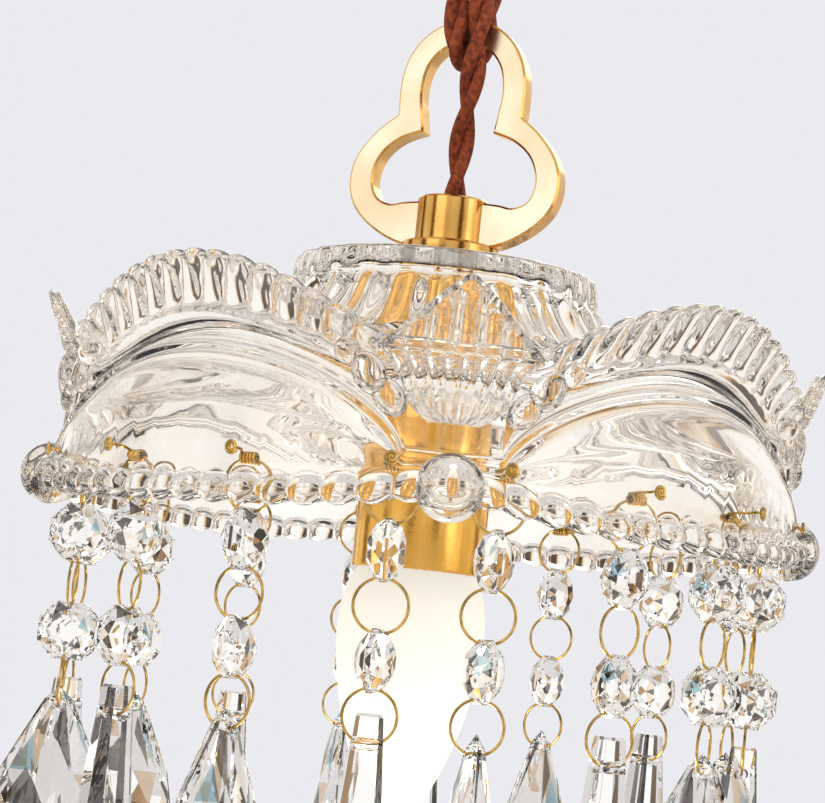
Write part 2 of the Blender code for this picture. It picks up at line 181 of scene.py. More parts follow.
def new_mesh(name, verts, faces, mat, smooth=True):
    """Mesh from points in millimetres, closed and facing out."""
    mesh = bpy.data.meshes.new(name)
    mesh.from_pydata([tuple(c * MM for c in v) for v in verts], [], faces)
    bm = bmesh.new()
    bm.from_mesh(mesh)
    bmesh.ops.remove_doubles(bm, verts=bm.verts, dist=1e-7)
    bmesh.ops.recalc_face_normals(bm, faces=bm.faces)
    for face in bm.faces:
        face.smooth = smooth
    bm.to_mesh(mesh)
    bm.free()
    mesh.materials.append(mat)
    return mesh


def show(name, mesh, body, matrix=None):
    """Piece of the lamp that rides on a body; matrix places it in the rim frame, in metres."""
    obj = bpy.data.objects.new(name, mesh)
    obj.matrix_world = Matrix.Translation((0, 0, -RIM_DROP * MM)) @ (matrix or Matrix.Identity(4))
    scene.collection.objects.link(obj)
    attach(obj, body)
    return obj


def sharpen(mesh, degrees):
    """Smooth shading with edges sharper than the angle kept crisp."""
    bm = bmesh.new()
    bm.from_mesh(mesh)
    limit = math.radians(degrees)
    for face in bm.faces:
        face.smooth = True
    for edge in bm.edges:
        if len(edge.link_faces) == 2 and edge.calc_face_angle(0.0) > limit:
            edge.smooth = False
    bm.to_mesh(mesh)
    bm.free()
    return mesh


def ring_faces(columns, rows, close_rows=True):
    """Quads of a grid that wraps round; each column holds rows points."""
    last = rows if close_rows else rows - 1
    faces = []
    for i in range(columns):
        j = (i + 1) % columns
        for k in range(last):
            m = (k + 1) % rows
            faces.append((i * rows + k, j * rows + k, j * rows + m, i * rows + m))
    return faces


def lathe(name, profile, sides, mat, angle=35):
    """Closed outline (radius, height) turned about Z."""
    verts = []
    for i in range(sides):
        a = TAU * i / sides
        verts += [(r * math.cos(a), r * math.sin(a), z) for r, z in profile]
    faces = []
    rows = len(profile)
    for i in range(sides):
        j = (i + 1) % sides
        for k in range(rows):
            m = (k + 1) % rows
            if profile[k][0] == 0 and profile[m][0] == 0:
                continue
            faces.append((i * rows + k, j * rows + k, j * rows + m, i * rows + m))
    return sharpen(new_mesh(name, verts, faces, mat), angle)


def spline(points, steps, closed=False):
    """Catmull-Rom curve through points of any dimension."""
    pts = [Vector(p) for p in points]
    n = len(pts)
    spans = n if closed else n - 1
    out = []
    for i in range(spans):
        if closed:
            p0, p1, p2, p3 = (pts[(i + k) % n] for k in (-1, 0, 1, 2))
        else:
            p0, p1 = pts[max(i - 1, 0)], pts[i]
            p2, p3 = pts[i + 1], pts[min(i + 2, n - 1)]
        for s in range(steps):
            t = s / steps
            out.append(0.5 * ((2 * p1) + (p2 - p0) * t + (2 * p0 - 5 * p1 + 4 * p2 - p3) * t * t
                              + (3 * p1 - p0 - 3 * p2 + p3) * t ** 3))
    if not closed:
        out.append(pts[-1])
    return out


def frames(path):
    """Tangent and two side vectors along a path, turned as little as possible."""
    out = []
    side = None
    for i, p in enumerate(path):
        a, b = path[max(i - 1, 0)], path[min(i + 1, len(path) - 1)]
        tangent = (b - a).normalized()
        if side is None:
            side = tangent.orthogonal().normalized()
        side = (side - tangent * side.dot(tangent)).normalized()
        out.append((tangent, side, tangent.cross(side)))
    return out


def tube(path, radius, sides):
    """Vertices and faces of a capped round tube along a path."""
    path = [Vector(p) for p in path]
    verts = []
    for p, (_, side, up) in zip(path, frames(path)):
        turns = [TAU * k / sides for k in range(sides)]
        verts += [tuple(p + side * (radius * math.cos(a)) + up * (radius * math.sin(a))) for a in turns]
    faces = []
    for i in range(len(path) - 1):
        for k in range(sides):
            m = (k + 1) % sides
            faces.append((i * sides + k, (i + 1) * sides + k, (i + 1) * sides + m, i * sides + m))
    faces.append(tuple(range(sides)))
    faces.append(tuple(len(verts) - sides + k for k in reversed(range(sides))))
    return verts, faces


def merged(parts):
    verts, faces = [], []
    for part_verts, part_faces in parts:
        base = len(verts)
        verts += part_verts
        faces += [tuple(base + i for i in f) for f in part_faces]
    return verts, faces


def hull(name, points, mat):
    bm = bmesh.new()
    for p in points:
        bm.verts.new([c * MM for c in p])
    found = bmesh.ops.convex_hull(bm, input=bm.verts)
    spare = [v for v in found["geom_interior"] if isinstance(v, bmesh.types.BMVert)]
    bmesh.ops.delete(bm, geom=spare, context="VERTS")
    bmesh.ops.dissolve_limit(bm, angle_limit=math.radians(1.0), verts=bm.verts, edges=bm.edges)
    bmesh.ops.recalc_face_normals(bm, faces=bm.faces)
    mesh = bpy.data.meshes.new(name)
    bm.to_mesh(mesh)
    bm.free()
    mesh.materials.append(mat)
    return mesh


def drilled(mesh, radius, heights, length):
    """The mesh with round holes along X at the given heights."""
    verts, faces = merged([tube([(-length, 0, z), (length, 0, z)], radius, 16) for z in heights])
    cutter = bpy.data.objects.new("cutter", new_mesh("cutter", verts, faces, mesh.materials[0], False))
    solid = bpy.data.objects.new("solid", mesh)
    scene.collection.objects.link(cutter)
    scene.collection.objects.link(solid)
    step = solid.modifiers.new("step", "BOOLEAN")
    step.operation, step.solver, step.object = "DIFFERENCE", "EXACT", cutter
    out = bpy.data.meshes.new_from_object(solid.evaluated_get(bpy.context.evaluated_depsgraph_get()))
    bpy.data.objects.remove(cutter)
    bpy.data.objects.remove(solid)
    return out


def around(radius, degrees, z=0.0):
    a = math.radians(degrees)
    return Vector((radius * math.sin(a), -radius * math.cos(a), z))


# ------------------------------------------------------------------ glass crown

CREST_START = 11.0      # angle from the valley where the crest begins to climb
ARCH_START = 7.0        # angle from the valley where the arch moulding begins to climb
LOBE_CENTRE = 45.0
RIM_DIP = 4.6           # how far the rim hangs lower under a lobe than in a valley
ARCH_FOOT, ARCH_CLIMB = 4.0, 21.8
CREST_FOOT, CREST_CLIMB = 31.0, 17.0
WALL_LOBE_R = 86.5      # the wall's radius under a lobe, and how much further out its corners are
WALL_CORNER = 5.0
RIBS = 20               # crest ribs in each quarter
RIB_LEAN = 0.6          # how far a rib leans over the crest's height, in ribs
BEADS = 18              # rim beads in each quarter
FLUTES = 24             # flutes round the dome
CROWN_COLUMNS = 72 * 12
ROW_STEPS = 3


def from_valley(degrees):
    d = degrees % 90.0
    return min(d, 90.0 - d)


def crest_rise(degrees):
    x = min(1.0, max(0.0, (from_valley(degrees) - CREST_START) / (LOBE_CENTRE - CREST_START)))
    return math.sin(0.5 * math.pi * x)


def arch_rise(degrees):
    x = min(1.0, max(0.0, (from_valley(degrees) - ARCH_START) / (LOBE_CENTRE - ARCH_START)))
    return (1.0 - (1.0 - x) ** 2) ** 0.68


def rim_height(degrees):
    return -RIM_DIP * (1.0 - math.exp(-((from_valley(degrees) / 14.0) ** 1.2)))


def wall_radius(degrees):
    v = from_valley(degrees)
    corner = WALL_CORNER * math.exp(-((v / 16.0) ** 2))
    notch = 2.0 * math.exp(-((v / 3.0) ** 2))
    return WALL_LOBE_R + corner - notch


def round_rib(phase):
    """0 in the groove between two ribs, 1 on a rib's back."""
    s = 2.0 * (phase - math.floor(phase)) - 1.0
    return math.sqrt(max(0.0, 1.0 - s * s))


def round_bead(phase):
    """0 between two beads, 1 at the middle of one."""
    s = 2.0 * (phase - math.floor(phase)) - 1.0
    return math.cos(0.5 * math.pi * s) ** 0.8


def crest_rib(degrees, share):
    """Swell of the leaning ribs; share is 0 at the crest's foot and 1 at its top."""
    fade = min(1.0, max(0.0, (from_valley(degrees) - 9.0) / 6.0))
    return fade * (round_rib(RIBS * degrees / 90.0 + 0.5 - RIB_LEAN * (share - 0.5)) - 0.6)


def crown_section(degrees):
    """Closed outline (radius, height) of the crown at one angle: up the outside, then back inside."""
    crest, arch, wall = crest_rise(degrees), arch_rise(degrees), wall_radius(degrees)
    rim = rim_height(degrees)
    foot = rim + 3.4
    arch_z = ARCH_FOOT + ARCH_CLIMB * arch
    base_z = 25.0 + 11.0 * crest ** 1.3
    top_z = CREST_FOOT + CREST_CLIMB * crest
    ribs = [crest_rib(degrees, share) for share in (0.0, 0.2, 0.5, 0.8, 1.0)]
    bead = 1.3 + 1.9 * round_bead(BEADS * degrees / 90.0 + 0.5)
    flute = math.cos(math.radians(FLUTES * degrees))
    outline = [(wall - 0.2 + bead * math.cos(math.radians(a)), rim + bead * math.sin(math.radians(a)))
               for a in (-110, -70, -30, 10, 50)]
    outline += [
        (wall - 0.3, foot + 0.3),
        (wall + 0.4 * arch, foot + 0.45 * (arch_z - foot)),
        (wall - 1.0 * arch, foot + 0.76 * (arch_z - foot)),
        (wall - 0.7 - 3.3 * arch, arch_z - 0.3),
        (wall - 1.0 - 4.7 * arch, arch_z + 1.0),
        (wall - 0.7 - 4.1 * arch, arch_z + 2.6),
        (wall - 1.8 - 5.4 * arch, arch_z + 3.9),
        (wall - 2.8 - 5.8 * arch, 0.35 * (arch_z + 3.0) + 0.65 * base_z),
        (wall - 5.2, base_z - 1.0),
        (wall - 4.2 + 0.5 * ribs[0], base_z + 0.6),
        (wall - 3.0 + 2.3 * ribs[1], base_z + 0.35 * (top_z - base_z)),
        (wall - 1.0 + 2.7 * ribs[2], base_z + 0.75 * (top_z - base_z)),
        (wall + 0.2 + 2.2 * ribs[3], top_z - 0.6 + 1.5 * ribs[3]),
        (wall - 1.6 + 1.0 * ribs[4], top_z + 1.8 * ribs[4]),
        (wall - 3.2 + 0.3 * ribs[4], top_z - 1.4 + 1.0 * ribs[4]),
        (wall - 6.2, base_z + 0.45 * (top_z - base_z)),
        (wall - 8.6, base_z + 0.9),
        (66.0, 33.0 + 2.6 * crest),
        (53.0, 36.3),
        (45.4 + 0.9 * flute, 40.6),
        (41.0 + 1.3 * flute, 45.3),
        (38.4 + 1.3 * flute, 49.8),
        (37.1 + 0.7 * flute, 52.2),
        (37.2 + 0.6 * flute, 54.2),
        (36.6 + 0.6 * flute, 58.0),
        (34.8 + 0.3 * flute, 59.6),
        (24.0, 60.6),
        (12.6, 61.3),
        (5.3, 61.3),
        (5.3, 57.3),
        (17.6, 57.3),
        (29.0, 55.6),
        (32.3, 51.5),
        (36.0, 43.5),
        (42.0, 36.6),
        (62.0, 29.2 + 3.0 * crest),
        (wall - 8.6 - 4.0 * arch, base_z - 4.3),
        (wall - 5.2 - 3.2 * arch, 10.0 + 13.0 * arch),
        (wall - 4.2, 4.0 + 10.0 * arch),
        (wall - 3.9, rim),
        (wall - 3.0, rim - 2.0),
    ]
    return outline


def crown_mesh():
    verts = []
    rows = 0
    for i in range(CROWN_COLUMNS):
        degrees = 360.0 * i / CROWN_COLUMNS
        outline = spline(crown_section(degrees), ROW_STEPS, closed=True)
        rows = len(outline)
        verts += [around(p[0], degrees, p[1]) for p in outline]
    return new_mesh("glass_crown", verts, ring_faces(CROWN_COLUMNS, rows), CROWN_GLASS)


def fan_mesh():
    """Palmette on the front valley: ribs below, arched flutes above, a pointed top with a raised border."""
    columns, steps = 84, 5
    body = ((13.5, 5.5, 85.8), (15.5, 8.5, 88.2), (19.0, 11.2, 90.2), (23.5, 13.2, 91.2), (26.6, 15.2, 90.9))
    front, back = [], []
    high = 0
    for c in range(columns + 1):
        u = 2.0 * c / columns - 1.0
        rise = 1.0 - (u * u + 0.003) ** 0.56
        rib = 1.5 * (round_rib(8 * (u + 1) / 2) - 0.7)
        flute = 1.3 * (round_rib(7 * (u + 1) / 2) - 0.7)
        dip = 2.4 * u * u
        line = [(u * half, radius + rib - dip, z) for z, half, radius in body]
        line.append((u * 17.0, 90.2 - dip, 28.4))
        for t in (0.12, 0.4, 0.7, 0.9, 1.0):
            border = 0.1 if t == 1.0 else (0.9 if t > 0.8 else flute)
            line.append((u * (18.0 - 0.4 * t), 90.4 + 5.6 * rise * t + border - dip, 28.8 + 16.2 * rise * t))
        line = [tuple(p) for p in spline(line, steps)]
        high = len(line)
        front += [(x, -r, z) for x, r, z in line]
        for k, (x, r, z) in enumerate(line):
            depth = 82.0 if z < 28.8 else 84.0 + 10.4 * (z - 28.8) / 16.2
            edge = max(0.0, k / (high - 1) - 0.94) / 0.06
            back.append((x * 0.97, -min(depth + 0.6 * edge, r - 2.0 + 1.4 * edge), z - 1.1 * edge * edge))
    verts = front + back
    offset = len(front)
    faces = []
    for c in range(columns):
        for r in range(high - 1):
            a = c * high + r
            faces.append((a, a + high, a + high + 1, a + 1))
            faces.append((offset + a, offset + a + 1, offset + a + high + 1, offset + a + high))
        for r in (0, high - 1):
            a = c * high + r
            faces.append((a, offset + a, offset + a + high, a + high))
    for c in (0, columns):
        for r in range(high - 1):
            a = c * high + r
            faces.append((a, a + 1, offset + a + 1, offset + a))
    return new_mesh("palmette", verts, faces, CROWN_GLASS)


def globe(radius, squash, columns=32, rows=20):
    """Round or flattened ball as vertices and faces; squash scales its three directions."""
    verts = []
    for i in range(columns):
        a = TAU * i / columns
        for k in range(rows + 1):
            t = math.pi * k / rows
            verts.append((radius * squash[0] * math.sin(t) * math.cos(a),
                          radius * squash[1] * math.sin(t) * math.sin(a), radius * squash[2] * math.cos(t)))
    faces = []
    for i in range(columns):
        j = (i + 1) % columns
        for k in range(rows):
            a, b = i * (rows + 1) + k, j * (rows + 1) + k
            faces.append((a, b, b + 1, a + 1))
    return verts, faces


# Each swelling beside a palmette: angle from the valley, height, radius, how far out it sits, and lean.
SCROLL = ((16.3, 27.2, 2.9, 86.4, 0.0), (12.8, 22.6, 4.5, 86.6, 35.0), (9.4, 17.6, 4.1, 88.2, 40.0))


def scroll_mesh(side, number):
    """One of the small swellings that step down beside a palmette: a bead and two gadroons."""
    angle, z, radius, out, lean = SCROLL[number]
    flat = (1.0, 0.95, 1.0) if number == 0 else (0.8, 0.55, 1.12)
    verts, faces = globe(radius, flat)
    mesh = new_mesh("scroll", verts, faces, CROWN_GLASS)
    mesh.transform(Matrix.Rotation(math.radians(angle * side), 4, "Z")
                   @ Matrix.Translation(Vector((0, -out, z)) * MM)
                   @ Matrix.Rotation(math.radians(lean * side), 4, "Y"))
    return mesh


def ball_mesh():
    verts, faces = globe(7.4, (1.0, 1.0, 1.0), 44, 28)
    mesh = new_mesh("rim_ball", verts, faces, CROWN_GLASS)
    mesh.transform(Matrix.Translation(Vector((0, -90.6, -0.4)) * MM))
    return mesh


def build_crown():
    crown = show("crown", crown_mesh(), "pendant")
    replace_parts(crown, "glass_crown")
    fan, ball = fan_mesh(), ball_mesh()
    scrolls = [("%s%d" % (tag, n + 1), scroll_mesh(side, n))
               for tag, side in (("a", -1), ("b", 1)) for n in range(len(SCROLL))]
    for q in range(4):
        turn = Matrix.Rotation(math.radians(90.0 * q), 4, "Z")
        show("palmette_%d" % (q + 1), fan, "pendant", turn)
        show("rim_ball_%d" % (q + 1), ball, "pendant", turn)
        for tag, mesh in scrolls:
            show("scroll_%d%s" % (q + 1, tag), mesh, "pendant", turn)


# ------------------------------------------------------------------ brass loop

LOOP_TURN = -23.3
OUTER = ((0, 122.2), (6.5, 121.0), (12.0, 117.0), (15.4, 111.0), (16.4, 104.5), (16.2, 98.0),
         (21.5, 93.6), (26.0, 87.5), (27.4, 81.0), (25.6, 74.5), (20.0, 69.0), (11.5, 65.2), (0, 65.0))
INNER = ((0, 116.1), (5.4, 114.8), (9.2, 110.6), (10.5, 104.5), (9.9, 99.0), (9.1, 93.8),
         (15.0, 91.6), (19.4, 87.6), (21.2, 82.0), (19.8, 77.2), (16.0, 75.3), (11.5, 76.0), (0, 76.7))
NECK = 5                # index of the neck, where the outline has its corner


def half_outline(points, steps):
    upper = spline(points[:NECK + 1], steps)
    lower = spline(points[NECK:], steps)
    return upper + lower[1:]


def plate_mesh():
    steps, bevel = 6, 0.55
    loops = []
    for points in (OUTER, INNER):
        half = half_outline(points, steps)
        loops.append(half + [Vector((-p[0], p[1])) for p in reversed(half[1:-1])])
    count = len(loops[0])

    def inset(loop, amount):
        out = []
        for i, p in enumerate(loop):
            d = loop[(i + 1) % count] - loop[i - 1]
            n = Vector((d[1], -d[0])).normalized()
            out.append(p - n * amount)
        return out
    outer_in = inset(loops[0], -bevel)
    inner_in = inset(loops[1], bevel)
    rows = [(outer_in, -3.0), (loops[0], -3.0 + bevel), (loops[0], 3.0 - bevel), (outer_in, 3.0),
            (inner_in, 3.0), (loops[1], 3.0 - bevel), (loops[1], -3.0 + bevel), (inner_in, -3.0)]
    verts = []
    for i in range(count):
        verts += [(loop[i][0], y, loop[i][1]) for loop, y in rows]
    mesh = sharpen(new_mesh("trefoil", verts, ring_faces(count, len(rows)), FACE_BRASS), 30)
    mesh.materials.append(EDGE_BRASS)
    for face in mesh.polygons:
        face.material_index = 0 if abs(face.normal.y) > 0.95 else 1
    return mesh


def build_loop():
    turn = Matrix.Rotation(math.radians(LOOP_TURN), 4, "Z")
    plate = show("loop_trefoil", plate_mesh(), "pendant", turn)
    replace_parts(plate, "loop_bracket")
    profile = [(3.3, 77.2), (8.3, 77.2), (8.9, 76.6), (8.9, 66.3), (9.3, 65.9), (11.5, 65.7), (12.0, 65.2),
               (12.1, 62.2), (11.8, 61.6), (5.3, 61.6), (5.3, 74.0), (3.3, 74.0)]
    show("loop_hub", lathe("hub", profile, 72, EDGE_BRASS), "pendant")


# ------------------------------------------------------------------ tube, bulb, small fittings

THREAD_PITCH = 3.6
BALL_R, BALL_BORE, BALL_Z = 7.0, 4.4, 281.0


def build_cover():
    profile = [(5.3, 57.0), (15.2, 57.0), (15.7, 56.8), (16.0, 56.2), (16.0, -14.3), (15.8, -14.9),
               (14.9, -14.9), (14.8, -14.6), (14.8, 55.4), (5.3, 55.4)]
    cover = show("tube_cover", lathe("cover", profile, 96, TUBE_BRASS), "pendant")
    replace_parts(cover, "socket_cover")


def build_bulb():
    """Candle bulb with its screw cap."""
    control = ((7.8, -4.6), (9.6, -8.0), (13.0, -12.6), (15.6, -17.2), (17.2, -22.0), (17.9, -29.0),
               (17.4, -37.0), (15.4, -48.0), (12.0, -59.0), (8.0, -68.0), (4.2, -74.6), (1.8, -78.0),
               (0.3, -79.8))
    profile = [(0, -4.6)] + [tuple(p) for p in spline(control, 5)] + [(0, -80.0)]
    envelope = show("bulb_envelope", lathe("globe", profile, 72, GLOW, 80), "bulb")
    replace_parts(envelope, "bulb_globe")
    thread = [(0, -4.3), (7.0, -4.3), (7.0, -1.0)]
    for k in range(5):
        z = -1.0 + THREAD_PITCH * k
        thread += [(6.3, z + 1.2), (6.3, z + 1.8), (7.0, z + 2.6), (7.0, z + 3.4)]
    thread += [(6.2, 18.4), (4.6, 21.4), (2.6, 22.4), (2.6, 24.2), (1.8, 24.6), (0, 24.6)]
    cap = show("bulb_screw_cap", lathe("cap", thread, 48, STEEL, 20), "bulb")
    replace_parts(cap, "bulb_cap")


def build_rose():
    """Ceiling cup and the swivel ball that grips the cord."""
    profile = [(5.3, 276.2), (5.6, 275.4), (7.0, 275.0), (9.0, 275.0)]
    profile += [tuple(p) for p in spline(((24.0, 276.5), (34.0, 280.5), (39.0, 287.0), (40.0, 293.0)), 6)]
    profile += [(40.0, 299.4), (39.7, 299.7), (38.6, 299.7), (38.6, 293.2), (37.7, 287.9), (33.2, 281.9),
                (23.7, 278.0), (9.6, 276.6), (5.6, 276.6)]
    rose = show("rose_cup", lathe("rose", profile, 96, ROSE_BRASS), "ceiling")
    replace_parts(rose, "ceiling_rose")
    low = math.asin(BALL_BORE / BALL_R)
    arc = [low + (math.pi - 2 * low) * k / 18 for k in range(19)]
    profile = [(BALL_R * math.sin(a), BALL_Z + BALL_R * math.cos(a)) for a in arc]
    grip = show("swivel_ball", lathe("grip", profile, 48, ROSE_BRASS), "swivel")
    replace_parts(grip, "cord_grip")


def paint_fittings():
    """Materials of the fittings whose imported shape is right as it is."""
    for name, mat in (("ceiling_plate", STEEL), ("threaded_nipple", STEEL), ("lower_nut", STEEL),
                      ("lampholder", PORCELAIN)):
        nodes[name].data.materials.clear()
        nodes[name].data.materials.append(mat)
        sharpen(nodes[name].data, 30)


# ------------------------------------------------------------------ twisted cord

STRAND_R = 1.62
TWIST = 34.0            # length of one full twist


def cord_route():
    """Centre line as (offset along the loop plate, offset to its front, height)."""
    reach = 3.0 + 2.75 + 0.55
    under = 116.1 - 2.75 - 0.55
    return [
        (0, 0, 50.0), (0, 0, 62.0), (0, 0, 74.0), (0, 0, 79.0), (0.4, 0.6, 88.0), (1.6, 2.6, 98.0),
        (3.4, reach - 0.7, 107.0), (4.0, reach, 114.0), (4.1, reach, 120.0), (4.1, reach - 0.1, 126.0),
        (3.9, reach - 2.6, 132.0), (3.2, 0.0, 134.5), (2.4, -reach + 1.2, 131.0), (1.8, -reach, 124.0),
        (1.0, -reach, 118.0), (0.0, -reach + 1.3, 113.9), (-0.8, -2.0, under), (-1.5, 2.0, under),
        (-2.0, reach - 1.3, 113.9), (-2.1, reach, 118.0), (-2.1, reach, 124.0), (-2.2, reach, 132.0),
        (-2.0, reach - 0.4, 140.0), (-1.2, 3.4, 152.0), (-0.3, 0.9, 166.0), (0, 0, 180.0),
        (0, 0, 205.0), (0, 0, 240.0), (0, 0, 282.0),
    ]


def build_cord():
    a = math.radians(LOOP_TURN)
    along, front = Vector((math.cos(a), math.sin(a), 0)), Vector((math.sin(a), -math.cos(a), 0))
    route = [along * p[0] + front * p[1] + Vector((0, 0, p[2])) for p in spline(cord_route(), 8)]
    run = [0.0]
    for p, q in zip(route, route[1:]):
        run.append(run[-1] + (q - p).length)
    strands = []
    for start in (0.0, math.pi):
        path = []
        for p, (_, side, up), s in zip(route, frames(route), run):
            turn = start + 0.9 + TAU * s / TWIST
            path.append(p + (side * math.cos(turn) + up * math.sin(turn)) * 1.5)
        strands.append(tube(path, STRAND_R, 14))
    verts, faces = merged(strands)
    cord = show("twisted_cord", new_mesh("cord", verts, faces, FABRIC), "pendant")
    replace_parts(cord, "suspension_cord")


# ------------------------------------------------------------------ pins, rings, beads and drops
# Built with X along the rim, -Y outwards and the origin on the strand's hinge.

RING_R = 5.9
LINK_HALF = 5.8
STEP = 2 * RING_R + 2 * LINK_HALF
DROP_Z = -(6 * RING_R + 4 * LINK_HALF)
PIN_ANGLES = (8.0, 32.0, 58.0, 82.0)
PIN_REACH = 8.0         # from the wall's face in to the strand's hinge
HINGE_Z = 3.2
PIN_WIRE, RING_WIRE = 0.36, 0.34


def pin_mesh(outside):
    """One bent wire: flat spiral head outside, shank through the wall, coil round the ring."""
    path = []
    for k in range(40):
        a = TAU * 1.9 * k / 39
        r = 0.25 + 1.35 * k / 39
        path.append(Vector((r * math.cos(a), -(outside + 0.5), 1.6 + r * math.sin(a))))
    last = path[-1]
    path.append(Vector((last.x * 0.5, -(outside + 0.1), 1.6 + 0.5 * (last.z - 1.6))))
    path += [Vector((0, -(outside - 0.8), 1.6)), Vector((0, -4.0, 1.6)), Vector((-1.2, -2.0, 1.6)),
             Vector((-1.9, -0.7, 1.35))]
    turns, half = 4.6, 1.9
    for k in range(72):
        a = math.pi / 2 + TAU * turns * k / 71
        path.append(Vector((-half + 2 * half * k / 71, 1.35 * math.cos(a), 1.35 * math.sin(a))))
    verts, faces = tube(path, PIN_WIRE, 8)
    return new_mesh("pin", verts, faces, WIRE_BRASS)


def ring_mesh():
    """Wire ring in the X-Z plane round its own centre."""
    columns, rows = 56, 10
    verts = []
    for i in range(columns):
        a = TAU * i / columns
        for k in range(rows):
            b = TAU * k / rows
            r = RING_R + RING_WIRE * math.cos(b)
            verts.append((r * math.cos(a), RING_WIRE * math.sin(b), r * math.sin(a)))
    return new_mesh("ring", verts, ring_faces(columns, rows), WIRE_BRASS)


def paint_facet_reflections(mesh, dark, coloured):
    """Painted reflections on some facets: dark tints stand in for dark parts of a room mirrored in them,
    teal and amber tints for coloured reflections and dispersion; spread the tints evenly over the facets.
    """
    for mat in (PAINTED_DARK_REFLECTION, PAINTED_TEAL_REFLECTION, PAINTED_AMBER_REFLECTION):
        mesh.materials.append(mat)
    for k, face in enumerate(mesh.polygons):
        draw = (0.13 + k * 0.618034) % 1.0
        limit = dark(face.normal)
        if draw < limit:
            face.material_index = 1
        elif draw < limit + coloured:
            face.material_index = 2 + k % 2
    return mesh


def octagon_mesh():
    """Octagonal bead with a table and two rows of facets on each side, drilled near its top and bottom."""
    points = []
    for k in range(8):
        a = math.pi / 8 + math.pi * k / 4
        b = a + math.pi / 8
        for x in (-0.6, 0.6):
            points.append((x, 7.4 * math.cos(a), 7.4 * math.sin(a)))
        for x in (-2.9, 2.9):
            points.append((x, 5.1 * math.cos(b), 5.1 * math.sin(b)))
        for x in (-4.0, 4.0):
            points.append((x, 2.7 * math.cos(a), 2.7 * math.sin(a)))
    # Painted reflections: dark on about 5% of the facets, teal and amber on about 3%.
    mesh = paint_facet_reflections(hull("octagon", points, CRYSTAL), lambda normal: 0.05, 0.03)
    return drilled(mesh, 0.65, (-LINK_HALF, LINK_HALF), 6.0)


def prism_mesh():
    """Icicle: small square head, long bevelled faces that widen, pointed foot."""
    points = []
    rows = ((6.6, 2.5, 0.7), (5.9, 2.9, 0.8), (-3.0, 3.0, 0.9), (-5.0, 3.1, 0.9), (-26.0, 5.4, 1.7),
            (-44.0, 6.4, 2.4), (-57.0, 0.9, 0.4))
    for z, half, cut in rows:
        for sx in (-1, 1):
            for sy in (-1, 1):
                points.append((sx * half, sy * (half - cut), z))
                points.append((sx * (half - cut), sy * half, z))
    # Painted reflections: dark on about 40% of the diagonal bevel facets and 4% of the others, teal and
    # amber on about 8%.
    mesh = paint_facet_reflections(hull("prism", points, CRYSTAL),
                       lambda normal: 0.4 if min(abs(normal.x), abs(normal.y)) > 0.4 else 0.04, 0.08)
    return drilled(mesh, 1.45, (0.0,), 8.0)


def teardrop_mesh():
    """Almond drop cut all over with staggered kite facets, thin at its girdle."""
    points = [(0, 0, 4.6), (0, 0, -46.6)]
    rows = ((1.5, 3.3, 2.2), (-7.0, 7.6, 3.8), (-15.5, 12.0, 5.0), (-24.0, 14.0, 5.8), (-32.5, 12.8, 5.2),
            (-40.5, 8.0, 3.6))
    for k, (z, wide, thick) in enumerate(rows):
        points += [(x, y * wide, z) for x in (-0.25, 0.25) for y in (-1, 1)]
        shares = (0.0, 0.72) if k % 2 else (0.38, 0.86)
        for share in shares:
            x = thick * math.sqrt(1.0 - share * share)
            points += [(sx * x, sy * share * wide, z) for sx in (-1, 1) for sy in (-1, 1)]
    # Painted reflections: dark on about 12% of the facets, teal and amber on about 8%.
    mesh = paint_facet_reflections(hull("teardrop", points, CRYSTAL), lambda normal: 0.12, 0.08)
    return drilled(mesh, 1.45, (0.0,), 8.0)


def wobble(index, link_no):
    """A few degrees of natural twist for each link, the same at every build."""
    return 9.0 * math.sin(2.3 * index + 1.7 * link_no) * min(1.0, 0.35 * link_no)


def build_strand(index, degrees, pin, ring, bead, drop):
    """A pin with its three rings, two octagons and drop."""
    tag = "%02d" % index
    strand = "strand_" + tag
    hinge = Matrix.Translation(around(wall_radius(degrees) - PIN_REACH, degrees, HINGE_Z) * MM) \
        @ Matrix.Rotation(math.radians(degrees), 4, "Z")

    def link_place(drop_by, link_no):
        return hinge @ Matrix.Translation(Vector((0, 0, -drop_by)) * MM) \
            @ Matrix.Rotation(math.radians(wobble(index, link_no)), 4, "Z")
    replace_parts(show("pin_wire_" + tag, pin, "pendant", hinge), "pin_" + tag)
    for k in range(3):
        piece = show("ring_%s%s" % (tag, "abc"[k]), ring, strand,
                     link_place(RING_R + STEP * k, 2 * k))
        if k == 0:
            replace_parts(piece, "chain_" + tag)
        if k < 2:
            show("octagon_%s%s" % (tag, "ab"[k]), bead, strand,
                 link_place(2 * RING_R + LINK_HALF + STEP * k, 2 * k + 1))
    name = ("icicle_" if index % 2 == 0 else "almond_") + tag
    piece = show(name, drop, "pendalogue_" + tag, link_place(-DROP_Z, 5))
    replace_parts(piece, "drop_" + tag)


def build_strands():
    pin, ring, bead = pin_mesh(PIN_REACH + 0.9), ring_mesh(), octagon_mesh()
    drops = (teardrop_mesh(), prism_mesh())
    places = [90.0 * quarter + angle for quarter in range(4) for angle in PIN_ANGLES]
    for i, degrees in enumerate(places):
        build_strand(i + 1, degrees, pin, ring, bead, drops[i % 2])


# ------------------------------------------------------------------ room, lights, camera

def build_room():
    """Pale floor, a disc well below the lamp."""
    sides, far, height = 64, 7.0, -1.45
    turns = [TAU * k / sides for k in range(sides)]
    mesh = bpy.data.meshes.new("floor")
    verts = [(far * math.cos(a), far * math.sin(a), height) for a in turns]
    mesh.from_pydata(verts, [], [tuple(range(sides))])
    floor = bpy.data.objects.new("floor", mesh)
    scene.collection.objects.link(floor)
    paint = principled("floor_paint", (0.86, 0.86, 0.88), 0.0, 0.6)
    tinted(paint, (0.84, 0.84, 0.87), (0.88, 0.88, 0.90), 3.0)
    mesh.materials.append(paint)


